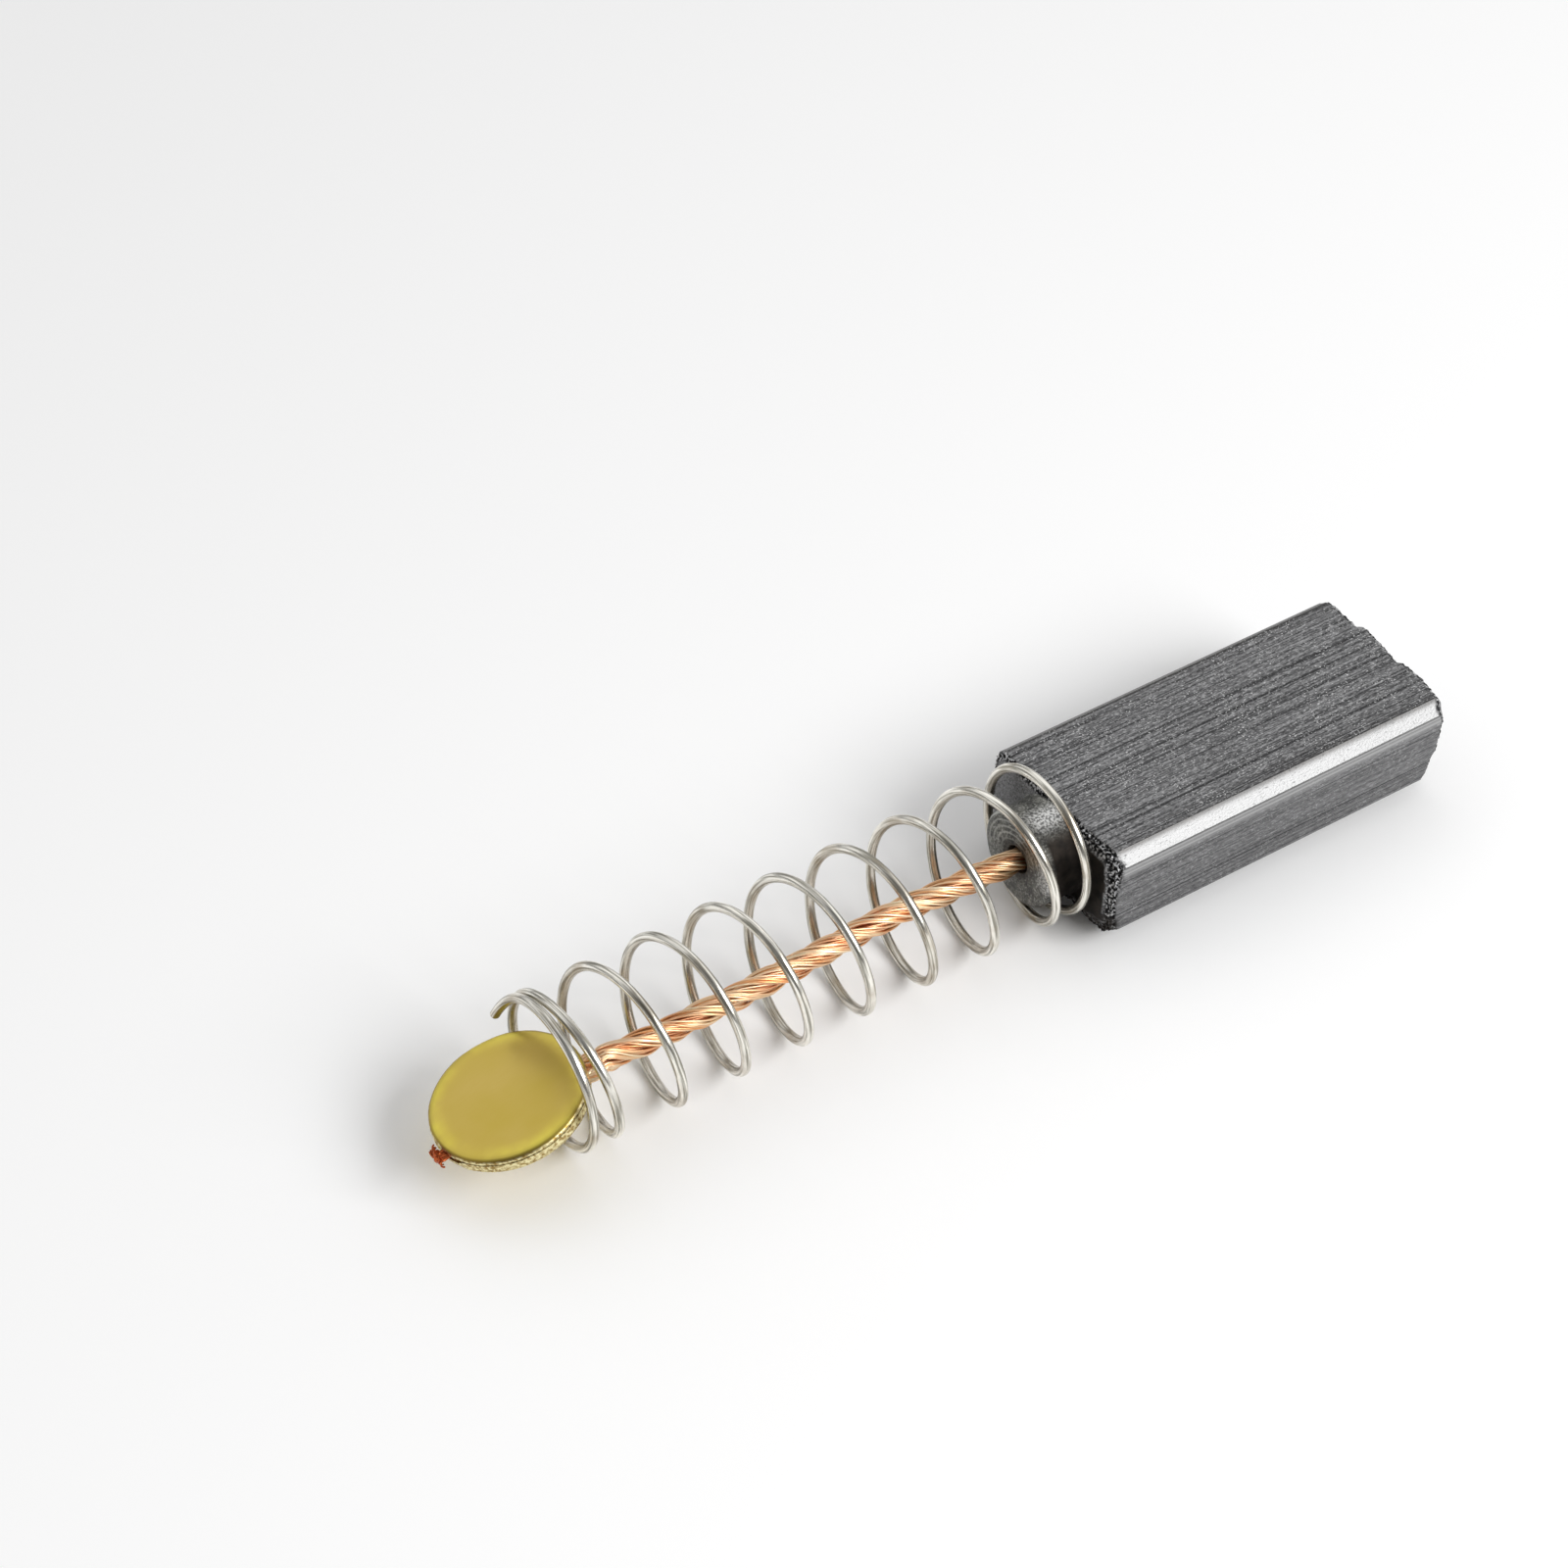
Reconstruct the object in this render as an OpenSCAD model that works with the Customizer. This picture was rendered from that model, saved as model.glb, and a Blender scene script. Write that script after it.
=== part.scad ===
// Carbon brush of a small commutator motor, lying loose on a flat surface.
// A pressed carbon block has a round spigot on its shoulder. A copper pigtail
// leaves the spigot, runs through an open coil spring and ends in a brass
// contact cap, a round sheet folded over the pigtail's flattened end.
// All sizes are in millimetres. +X points from the cap to the working face.

/* [Carbon block] */
// Length of the block, from its shoulder to its working face
block_len = 17.2; // [12:0.1:22]
// Width of the block, across its narrow sides
block_w = 8; // [7:0.1:10]
// Thickness of the block, between its broad faces
block_t = 4.4; // [4.3:0.1:5.6]
// Chamfer along the four long edges
long_chamfer = 0.5; // [0.2:0.05:0.9]
// Bevel that is crumbled off the edges of the shoulder
shoulder_bevel = 0.2; // [0.05:0.05:0.5]
// Depth of the shallow patch that is broken off the rim of the working face
patch_depth = 0.24; // [0.05:0.01:0.4]

/* [Spigot] */
// Diameter of the round spigot that the spring sits on
spigot_d = 4.2; // [3.4:0.1:4.3]
// Length of the spigot
spigot_len = 1.7; // [1:0.1:2.5]
// Bevel round the end of the spigot
spigot_bevel = 0.15; // [0:0.05:0.4]

/* [Spring] */
// Length of the spring when it is free
spring_len = 23.5; // [18:0.1:30]
// Mean diameter of the coils, from wire centre to wire centre
coil_d = 6.2; // [6.1:0.1:8]
// Diameter of the spring wire
wire_d = 0.4; // [0.3:0.02:0.5]
// Number of turns, counted from one end of the wire to the other
spring_turns = 9.875; // [8:0.125:14]
// Turns that lie closed at the free end
free_closed_turns = 1.2; // [0.5:0.1:1.5]
// Turns that lie closed at the block
seat_closed_turns = 1; // [1:0.05:2]
// Angle of the wire's cut end at the free end, from the side towards the top
cut_end_angle = 15; // [0:15:345]
// Distance by which the middle coil lies off its even place, towards the free end
coil_drift = 0.2; // [0:0.02:0.5]

/* [Pigtail] */
// Diameter over the twisted strands
rope_d = 1.1; // [0.8:0.05:1.3]
// Number of strands
strands = 4; // [3:1:6]
// Length in which a strand goes once round the rope
rope_lay = 5.8; // [4:0.2:8]
// Length of the pigtail inside the block
rope_embed = 3; // [2:0.5:6]
// Length of the frayed end beyond the cap
tuft_len = 0.55; // [0.2:0.05:1]

/* [Contact cap] */
// Diameter of the round cap
cap_d = 6.3; // [5.8:0.1:6.5]
// Thickness of the brass sheet
sheet_t = 0.28; // [0.2:0.02:0.35]
// Space between the two layers of the fold
fold_gap = 0.2; // [0.16:0.02:0.3]
// Radius that rounds the outer edge of the cap
rim_round = 0.14; // [0.05:0.01:0.18]
// Distance from the cap's centre to the crease of the fold
crease_y = 2.8; // [2.4:0.05:2.85]

/* [Cap attitude] */
// Distance by which the cap's centre lies past the free end of the spring
cap_overhang = 1.55; // [1.4:0.05:3]
// Height of the cap's centre, measured from the axis of the spring
cap_rise = -0.5; // [-0.9:0.05:0.2]
// Angle by which the cap slopes down, away from the block
cap_slope = 16.3; // [5:0.5:25]
// Angle by which the cap leans to its folded side
cap_lean = 5.3; // [0:0.5:10]
// Angle by which the cap is turned about the vertical
cap_turn = -8.6; // [-20:0.5:5]

/* [Hidden] */
$fn = 64;

// Clearances: the spring's play at the shoulder and on the spigot, and the pigtail's play in its hole
// and in the cap
seat_gap = 0.2;
spigot_gap = 0.2;
hole_gap = 0.03;
clamp_gap = 0.01;

// Faces that only a cut passes through reach this far past the solid
past = 1;

// Depth of the funnel at the mouth of the pigtail's hole
funnel = 0.1;

// Broken rim of the working face: flakes as [across, up, radius, depth], and the corner of the patch
flakes = [
    [-0.12 * block_w, block_t / 2, 0.6, 0.25],
    [-block_w / 2, block_t / 2 - long_chamfer, 1.2, 0.4],
    [-block_w / 2, 0, 2.5, 0.3],
    [-block_w / 2, long_chamfer - block_t / 2, 1.6, 0.8]
];
patch_corner = [0.2 * block_w, block_t / 2 - 0.9];

// Heights above the surface: the spring lies on it, and its end ring carries the spigot
coil_r = coil_d / 2;
spring_axis_h = coil_r + wire_d / 2;
block_axis_h = wire_d + spigot_gap + spigot_d / 2;

// The spring runs towards -X from its seat at the shoulder
coil_steps = 24;
seat_x = -seat_gap - wire_d / 2;
free_end_x = seat_x - (spring_len - wire_d);
closed_pitch = wire_d + 0.05;
seat_blend = 0.3;
free_blend = 0.2;
end_kick = 0.35;
kick_turns = 0.12;
active_turns = spring_turns - free_closed_turns - seat_closed_turns;
open_pitch = closed_pitch + (spring_len - wire_d - closed_pitch * spring_turns) / active_turns;
wire_sides = 8;

// Cap: its thickness over both layers, and the place of its centre
cap_r = cap_d / 2;
cap_t = 2 * sheet_t + fold_gap;
cap_angles = [-cap_lean, -cap_slope, cap_turn];
cap_side = 0.05;
cap_centre = [free_end_x - cap_overhang, cap_side, spring_axis_h + cap_rise];
cap_up = turned([0, 0, 1], cap_angles);

// The pigtail's line across the cap: [along, across] at its mouth and at its tail
mouth_y = -0.55;
tail_y = -0.85;
strap_w = 2.3;
tuft_w = 0.9;
tuft_t = 0.6;
section_points = 5 * strands;
ring_step = 0.3;

// The whole part is shifted along X so that its origin lies in the middle of its length
tail_end = cap_point([-cap_r, tail_y, 0]);
tail_tip = cap_point([-cap_r - tuft_len, tail_y, 0]);
tail_side = unit(cross(cap_up, tail_tip - tail_end));
tail_reach = norm([tuft_w * tail_side[0], tuft_t * cap_up[0]]) / 2;
middle_x = (block_len + tail_tip[0] - tail_reach) / 2;

// Turn a vector about X, Y and Z in that order
function about_x(v, a) = [v[0], v[1] * cos(a) - v[2] * sin(a), v[1] * sin(a) + v[2] * cos(a)];
function about_y(v, a) = [v[0] * cos(a) + v[2] * sin(a), v[1], v[2] * cos(a) - v[0] * sin(a)];
function about_z(v, a) = [v[0] * cos(a) - v[1] * sin(a), v[0] * sin(a) + v[1] * cos(a), v[2]];
function turned(v, a) = about_z(about_y(about_x(v, a[0]), a[1]), a[2]);

// A point of the cap's own frame, in the part's frame
function cap_point(p) = cap_centre + turned(p, cap_angles);

// Share of a stretch that lies past a blended step of the given width
function past_step(s, at, w) =
    s < at - w / 2 ? 0 :
    s > at + w / 2 ? s - at :
    pow(s - at + w / 2, 2) / (2 * w);

// Place along X of the wire's centre, s turns from its free end. The cutter has bent the end out a little.
function wire_x(s) =
    let (share = min(1, max(0, (s - free_closed_turns) / active_turns)),
         kick = pow(max(0, 1 - s / kick_turns), 2))
    free_end_x + closed_pitch * s + (open_pitch - closed_pitch)
    * (past_step(s, free_closed_turns, free_blend)
       - past_step(s, spring_turns - seat_closed_turns, seat_blend))
    - 4 * coil_drift * share * (1 - share) - end_kick * kick;

// Angle of the wire's centre round the axis, from +Y towards +Z
function wire_angle(s) = cut_end_angle + 360 * s;

// Centre of the wire, and the rising direction of its coil
function wire_centre(s) =
    [wire_x(s), coil_r * cos(wire_angle(s)), spring_axis_h + coil_r * sin(wire_angle(s))];

function unit(v) = v / norm(v);

// Ring of points round the wire's centre
function wire_ring(s) =
    let (a = wire_angle(s),
         out = [0, cos(a), sin(a)],
         run = unit(wire_centre(s + 0.001) - wire_centre(s - 0.001)),
         side = unit(cross(run, out)))
    [for (k = [0 : wire_sides - 1])
        let (b = 360 * k / wire_sides)
        wire_centre(s) + wire_d / 2 * (cos(b) * unit(cross(side, run)) + sin(b) * side)];

// Point of a smooth curve through p1 and p2, with its neighbours p0 and p3
function curve_point(p0, p1, p2, p3, u) =
    0.5 * (2 * p1 + (p2 - p0) * u + (2 * p0 - 5 * p1 + 4 * p2 - p3) * u * u
           + (3 * p1 - p0 - 3 * p2 + p3) * u * u * u);

// The pigtail's route: out of the block, through the spring with a slight bow, and across the cap
rope_start = [-spigot_len, 0, block_axis_h];
rope_mouth = cap_point([cap_r + 0.1, mouth_y, 0]);
function on_way(share, sideways) = rope_start + share * (rope_mouth - rope_start) + [0, sideways, 0];
route = [
    rope_start + [spigot_len + rope_embed, 0, 0],
    rope_start + [rope_embed, 0, 0],
    rope_start,
    on_way(0.15, 0.15),
    on_way(0.3, 0.3),
    on_way(0.5, 0.15),
    on_way(0.7, 0.03),
    on_way(0.9, 0),
    cap_point([cap_r + 0.6, mouth_y + 0.05, 0]),
    rope_mouth,
    cap_point([0, (mouth_y + tail_y) / 2, 0]),
    tail_end,
    tail_tip,
    2 * tail_tip - tail_end
];
last_leg = len(route) - 3;
mouth_leg = last_leg - 3;
tail_leg = last_leg - 1;

// Samples along the route, each leg in steps of about ring_step
leg_steps = [for (i = [1 : last_leg]) max(2, ceil(norm(route[i + 1] - route[i]) / ring_step))];
rope_line = [
    for (i = [1 : last_leg], j = [0 : leg_steps[i - 1] - 1])
        curve_point(route[i - 1], route[i], route[i + 1], route[i + 2], j / leg_steps[i - 1]),
    route[last_leg + 1]
];
rope_rings = len(rope_line);

// Length of the route up to each sample
function run_up(line, i = 0, sum = 0) =
    i == len(line) - 1 ? [sum] :
    concat([sum], run_up(line, i + 1, sum + norm(line[i + 1] - line[i])));
rope_run = run_up(rope_line);

// Length at which the rope reaches the cap's mouth, and at which it comes out at its tail
mouth_run = rope_run[sum_of(leg_steps, mouth_leg)];
tail_run = rope_run[sum_of(leg_steps, tail_leg)];
function sum_of(list, n) = n == 0 ? 0 : list[n - 1] + sum_of(list, n - 1);

function blend(a, b, u) =
    let (v = min(1, max(0, u)))
    a + (b - a) * v * v * (3 - 2 * v);

// Width and height of the rope's section at a length along it
squeeze_len = 1.3;
function rope_wide(run) =
    run < mouth_run ? blend(rope_d, strap_w, (run - mouth_run + squeeze_len) / squeeze_len)
    : blend(strap_w, tuft_w, (run - mouth_run) / (tail_run - mouth_run));
function rope_high(run) =
    run < tail_run ? blend(rope_d, fold_gap - 2 * clamp_gap, (run - mouth_run + squeeze_len) / squeeze_len)
    : blend(fold_gap - 2 * clamp_gap, tuft_t, (run - tail_run) / tuft_len);

// Outline of touching round strands, as a share of the rope's radius, at an angle from a strand's middle
strand_share = sin(180 / strands) / (1 + sin(180 / strands));
function lobe(a) =
    let (b = abs((a + 360 * strands) % (360 / strands)),
         c = min(b, 360 / strands - b),
         q = 1 - strand_share)
    q * cos(c) + sqrt(max(0, pow(strand_share, 2) - pow(q * sin(c), 2)));

// Ring of points round the rope's centre line
function rope_ring(i) =
    let (run = unit(rope_line[min(i + 1, rope_rings - 1)] - rope_line[max(i - 1, 0)]),
         side = unit(cross(cap_up, run)),
         up = cross(run, side),
         twist = 360 * rope_run[i] / rope_lay)
    [for (k = [0 : section_points - 1])
        let (a = 360 * k / section_points,
             r = lobe(a - twist) / 2)
        rope_line[i] + r * (rope_wide(rope_run[i]) * cos(a) * side + rope_high(rope_run[i]) * sin(a) * up)];

// Closed skin over a row of rings with the same number of points
module skin(rings) {
    n = len(rings[0]);
    last = len(rings) - 1;
    polyhedron(
        points = [for (ring = rings, p = ring) p],
        faces = concat(
            [[for (k = [0 : n - 1]) k]],
            [for (i = [0 : last - 1], k = [0 : n - 1])
                [i * n + k, (i + 1) * n + k, (i + 1) * n + (k + 1) % n]],
            [for (i = [0 : last - 1], k = [0 : n - 1])
                [i * n + k, (i + 1) * n + (k + 1) % n, i * n + (k + 1) % n]],
            [[for (k = [n - 1 : -1 : 0]) last * n + k]]),
        convexity = 10);
}

// Section across the block: a rectangle with its corners cut off
module block_section() {
    y = block_w / 2;
    z = block_t / 2;
    c = long_chamfer;
    polygon([[-y + c, -z], [y - c, -z], [y, -z + c], [y, z - c],
             [y - c, z], [-y + c, z], [-y, z - c], [-y, -z + c]]);
}

// Wedge that bevels one edge of the shoulder, at a distance from the axis and turned about it
module shoulder_wedge(distance, turn) {
    rotate([turn, 0, 0])
        translate([0, 0, distance])
            rotate([0, 45, 0])
                cube([shoulder_bevel * sqrt(2), 2 * block_w, shoulder_bevel * sqrt(2)], center = true);
}

// Scoop that a flake leaves in the edge of the working face
module flake(across, up, radius, depth) {
    translate([block_len + radius - depth, across, up])
        sphere(r = radius, $fn = 32);
}

// Round hole for the pigtail, with a small funnel at its mouth
module rope_hole() {
    r = rope_d / 2 + hole_gap;
    translate([-spigot_len, 0, 0])
        rotate([0, 90, 0]) {
            cylinder(r = r, h = spigot_len + rope_embed + hole_gap);
            translate([0, 0, -past])
                cylinder(r1 = r + past + funnel, r2 = r, h = past + funnel);
        }
}

module carbon_block() {
    half_w = block_w / 2;
    half_t = block_t / 2;
    color("dimgray")
    translate([-middle_x, 0, block_axis_h])
    difference() {
        union() {
            rotate([90, 0, 90])
                linear_extrude(block_len)
                    block_section();
            rotate([0, -90, 0]) {
                cylinder(d = spigot_d, h = spigot_len - spigot_bevel);
                translate([0, 0, spigot_len - spigot_bevel])
                    cylinder(d1 = spigot_d, d2 = spigot_d - 2 * spigot_bevel, h = spigot_bevel);
            }
        }
        rope_hole();
        for (side = [0, 180])
            shoulder_wedge(half_t, side);
        for (side = [90, 270])
            shoulder_wedge(half_w, side);
        translate([block_len - patch_depth, patch_corner[0], patch_corner[1]])
            cube([past, block_w, block_t]);
        for (f = flakes)
            flake(f[0], f[1], f[2], f[3]);
    }
}

module spring() {
    steps = ceil(spring_turns * coil_steps);
    color("silver")
    translate([-middle_x, 0, 0])
        skin([for (i = [0 : steps]) wire_ring(spring_turns * i / steps)]);
}

module pigtail() {
    color("peru")
    translate([-middle_x, 0, 0])
        skin([for (i = [0 : rope_rings - 1]) rope_ring(i)]);
}

// One round layer of the cap, cut off at the crease, with its outer edge rounded on top
module cap_layer() {
    intersection() {
        rotate_extrude()
            difference() {
                square([cap_r, sheet_t]);
                translate([cap_r - rim_round, sheet_t - rim_round])
                    difference() {
                        square(past);
                        circle(r = rim_round, $fn = 32);
                    }
            }
        translate([-cap_r, -cap_r, 0])
            cube([2 * cap_r, cap_r + crease_y, sheet_t]);
    }
}

// Half-round bend that joins the two layers along the crease, inside the cap's round outline
module cap_bend() {
    intersection() {
        cylinder(r = cap_r, h = cap_t, center = true);
        translate([-cap_r, crease_y, 0])
            rotate([90, 0, 90])
                linear_extrude(cap_d)
                    intersection() {
                        difference() {
                            circle(r = cap_t / 2);
                            circle(r = fold_gap / 2);
                        }
                        translate([0, -cap_t / 2])
                            square(cap_t);
                    }
    }
}

module contact_cap() {
    color("goldenrod")
    translate(cap_centre - [middle_x, 0, 0])
        rotate(cap_angles) {
            translate([0, 0, fold_gap / 2])
                cap_layer();
            mirror([0, 0, 1])
                translate([0, 0, fold_gap / 2])
                    cap_layer();
            cap_bend();
        }
}

carbon_block();
spring();
pigtail();
contact_cap();
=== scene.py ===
# %% [markdown]
# A carbon brush
#
# A carbon brush feeds current to the turning part of a small motor. It has four pieces: a pressed carbon
# block with a round spigot, an open coil spring, a pigtail of twisted copper wire, and a round brass cap
# that is folded over the pigtail's end. The measured solids are loaded first and never moved. This lesson
# then makes a detailed piece over each of them, in the same place, and gives each its finish.

# %% Load the measured frame
from bisect import bisect_left
from math import cos, hypot, pi, radians, sin, sqrt

import bmesh
import bpy
from mathutils import Euler, Matrix, Vector, noise


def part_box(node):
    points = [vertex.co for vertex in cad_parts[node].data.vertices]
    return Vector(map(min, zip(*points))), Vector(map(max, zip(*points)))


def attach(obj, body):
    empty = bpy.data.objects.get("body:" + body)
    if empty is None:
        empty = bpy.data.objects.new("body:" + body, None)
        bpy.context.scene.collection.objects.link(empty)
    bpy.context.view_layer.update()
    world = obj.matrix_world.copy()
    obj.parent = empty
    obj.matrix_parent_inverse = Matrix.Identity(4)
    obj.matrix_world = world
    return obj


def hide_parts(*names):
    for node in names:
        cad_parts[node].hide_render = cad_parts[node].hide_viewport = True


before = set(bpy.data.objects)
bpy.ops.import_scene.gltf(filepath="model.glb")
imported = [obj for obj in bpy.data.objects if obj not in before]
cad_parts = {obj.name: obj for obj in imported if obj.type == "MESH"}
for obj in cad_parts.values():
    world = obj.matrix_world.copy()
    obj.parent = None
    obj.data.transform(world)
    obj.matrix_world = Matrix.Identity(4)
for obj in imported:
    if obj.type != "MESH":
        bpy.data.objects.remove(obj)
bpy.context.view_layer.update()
MM = 0.001

# %% [markdown]
# The camera
#
# The photograph looks down at the brush from about 44 degrees, with the cap nearest on the left and the
# working end far on the right. The lens is long, so the block's edges stay almost parallel. The camera's
# place and turn come from fitting the block's edges and the spring's turns, so they are plain numbers,
# measured from the middle of the block's shoulder.

# %% The block's place and the camera
block_low, block_high = [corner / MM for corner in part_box("carbon_block")]
SPIGOT_LEN = 1.7
shoulder_x = block_low.x + SPIGOT_LEN
axis_z = (block_high.z + block_low.z) / 2
CAMERA_FROM_SHOULDER = Vector((-72.01, -84.73, 109.91))
CAMERA_TURN_DEG = (45.974, -0.967, -33.927)

camera_data = bpy.data.cameras.new("camera")
camera_data.lens = 90
camera_data.sensor_width = 36
camera_data.clip_start = 10 * MM
camera_data.clip_end = 10
camera = bpy.data.objects.new("camera", camera_data)
bpy.context.collection.objects.link(camera)
camera.location = (Vector((shoulder_x, 0, axis_z)) + CAMERA_FROM_SHOULDER) * MM
camera.rotation_euler = [radians(a) for a in CAMERA_TURN_DEG]
bpy.context.scene.camera = camera
print("camera", round(camera.location.length / MM), "mm from the middle of the brush")

# %% [markdown]
# Small helpers
#
# Every piece is modelled in millimetres in its own bmesh, then scaled to metres once, when it becomes an
# object at the origin. One function does that for all of them. It also takes the name of the solid that
# the piece stands for. Edges sharper than an angle stay sharp in the shading, and the rest of the piece is
# shaded smooth.

# %% From a bmesh to a piece
MERGE_DISTANCE = 0.0005


def recalculated(bm):
    """Merge the points that lie on each other, and turn all faces outwards."""
    bmesh.ops.remove_doubles(bm, verts=bm.verts, dist=MERGE_DISTANCE)
    bmesh.ops.recalc_face_normals(bm, faces=bm.faces)


def join(bm, other, name):
    """Put the faces of another bmesh into this one."""
    mesh = bpy.data.meshes.new(name)
    other.to_mesh(mesh)
    other.free()
    bm.from_mesh(mesh)
    bpy.data.meshes.remove(mesh)


def piece_from(bm, name, node, sharp_deg):
    bmesh.ops.scale(bm, vec=(MM, MM, MM), verts=bm.verts)
    mesh = bpy.data.meshes.new(name)
    bm.to_mesh(mesh)
    bm.free()
    mesh.shade_smooth()
    mesh.set_sharp_from_angle(angle=radians(sharp_deg))
    obj = bpy.data.objects.new(name, mesh)
    bpy.context.collection.objects.link(obj)
    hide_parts(node)
    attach(obj, "root")
    print(name, len(mesh.vertices), "points,", sum(len(p.vertices) - 2 for p in mesh.polygons), "triangles")
    return obj


# %% [markdown]
# Carbon block
#
# The block is pressed from graphite powder and ground on its long faces, with a chamfer on each long edge.
# It is brittle: grains have crumbled off the edges of the shoulder, and the rim of the working end is
# chipped. A sculpted mesh or a displacement map could show that. Here a plain box is bevelled, cut by
# planes into a fine grid only at its two ends, and the points near the broken edges are pushed in.

# %% A bevelled box
LONG_CHAMFER = 0.5
end_x = block_high.x
half_w = (block_high.y - block_low.y) / 2
half_t = (block_high.z - block_low.z) / 2

block = bmesh.new()
bmesh.ops.create_cube(block, size=1)
bmesh.ops.scale(block, vec=(end_x - shoulder_x, 2 * half_w, 2 * half_t), verts=block.verts)
bmesh.ops.translate(block, vec=((end_x + shoulder_x) / 2, 0, axis_z), verts=block.verts)
long_edges = [e for e in block.edges if abs(e.verts[0].co.x - e.verts[1].co.x) > 1]
bmesh.ops.bevel(block, geom=long_edges, offset=LONG_CHAMFER, offset_type="OFFSET", segments=1,
                profile=0.5, affect="EDGES", material=-1)
print("block", round(end_x - shoulder_x, 2), "x", round(2 * half_w, 2), "x", round(2 * half_t, 2), "mm")

# %% [markdown]
# Only a point can be pushed in, so the broken edges need many points, and the ground faces between them
# need none. Subdividing the whole box would give both the same number. Cuts by planes can be close
# together across the block, and along it close to both ends only, closest at the edges themselves.

# %% Cut a grid into the box
GRID = 0.075
ROWS = [0.05, 0.1, 0.16, 0.22, 0.3, 0.4, 0.55, 0.75, 1.0, 1.4, 2.0]


def cut(bm, place, normal):
    bmesh.ops.bisect_plane(bm, geom=bm.verts[:] + bm.edges[:] + bm.faces[:],
                           plane_co=place, plane_no=normal, dist=1e-6)


for i in range(1, round(2 * half_w / GRID)):
    cut(block, (0, -half_w + i * GRID, 0), (0, 1, 0))
for i in range(1, round(2 * half_t / GRID)):
    cut(block, (0, 0, axis_z - half_t + i * GRID), (0, 0, 1))
for row in ROWS:
    cut(block, (shoulder_x + row, 0, 0), (1, 0, 0))
    cut(block, (end_x - row, 0, 0), (1, 0, 0))
print("grid of", len(block.faces), "faces")

# %% [markdown]
# Wear is strongest at an edge and dies away from it. Two helpers describe that. One is a smooth step
# between two places, with a value on either side. The other reads a table of places and values, for the
# chips and the light lines that the photograph shows one by one, which no noise would put in their place.

# %% Smooth steps and tables
def smooth_step(x, low, high, at_low=0, at_high=1):
    u = min(1, max(0, (x - low) / (high - low)))
    return at_low + (at_high - at_low) * u * u * (3 - 2 * u)


def table_value(table, at):
    """Value between the two nearest entries of a list of (place, value), which rises by place."""
    if at <= table[0][0]:
        return table[0][1]
    for (a, va), (b, vb) in zip(table, table[1:]):
        if at <= b:
            return va + (vb - va) * (at - a) / (b - a)
    return table[-1][1]


print("a quarter of the way, a smooth step has risen to", smooth_step(0.25, 0, 1))

# %% [markdown]
# The chips of the working end are listed as depths along its upper edge and along its front edge. Two
# shallow lumps stand between the chips, as the photograph shows. The depth fades out over the end face, so
# that its middle stays flat, where it runs on the motor. The hidden edges and the shoulder have no table:
# a slow noise makes their wear uneven.

# %% How deep the ends are broken
UPPER_RIM = [(-4, 0.42), (-3.6, 0.28), (-3, 0.2), (-2.3, 0.07), (-1.7, 0.07), (-1.15, 0.12), (-0.95, 0.3),
             (-0.4, 0.2), (0.5, 0.08), (1.25, 0), (1.5, 0.03), (1.7, 0.24), (3.2, 0.22), (4, 0.32)]
FRONT_RIM = [(-2.2, 1.0), (-1.7, 0.85), (-1.4, 0.7), (-0.75, 0.6), (-0.4, 0.33), (0.3, 0.27),
             (1.3, 0.22), (1.7, 0.4), (2.2, 0.7)]
HIDDEN_CHIP, HIDDEN_SPREAD = 0.12, 0.1
CHIP_REACH = 0.75


def chip_fade(from_edge):
    return 1 - smooth_step(from_edge, 0, CHIP_REACH)


def end_chip(y, up):
    """Depth of the chips at a place of the working end, in mm."""
    hidden = HIDDEN_CHIP + HIDDEN_SPREAD * noise.noise(Vector((y, up, 3)) * 1.6)
    return max(table_value(UPPER_RIM, y) * chip_fade(half_t - up),
               table_value(FRONT_RIM, up) * chip_fade(half_w + y),
               hidden * chip_fade(half_t + up), hidden * chip_fade(half_w - y))


def shoulder_wear(y, up):
    """How strongly the shoulder's edge has crumbled: least at the back, most towards the front."""
    front = 1 - smooth_step(y, -3.2, 2.6)
    return (0.62 + 0.38 * front) * (0.75 + 0.35 * noise.noise(Vector((y, up, 7)) * 1.1))


print("deepest chip", round(max(end_chip(-half_w, up / 10) for up in range(-22, 23)), 2), "mm")

# %% [markdown]
# Each point near an end moves along the block by the depth of its chip, and inwards by a little less, so
# that the edge turns round. Voronoi noise is near zero in the middle of each cell and rises between cells,
# so it makes edges look like grains that have fallen out. How far each point is broken is kept for the
# finish.

# %% Push in the broken edges
GRAIN = 0.17
ON_FACE = 1e-4
SHOULDER_ZONE, END_ZONE = 1, 2
CRUMBLE_REACH = 0.85
CRUMBLE_DEPTH, CRUMBLE_GRAIN = 0.1, 0.24
CHIP_LEN = 1.6
RIM_REACH = 0.25
RIM_DEPTH, RIM_GRAIN = 0.02, 0.08
ROUND_DEPTH, ROUND_GRAIN = 0.03, 0.05
END_MARK = 0.3


def grains(p, size):
    """From 0 to about 1, rising between rounded grains of a size in mm."""
    return noise.voronoi(p / size)[0][0]


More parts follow.
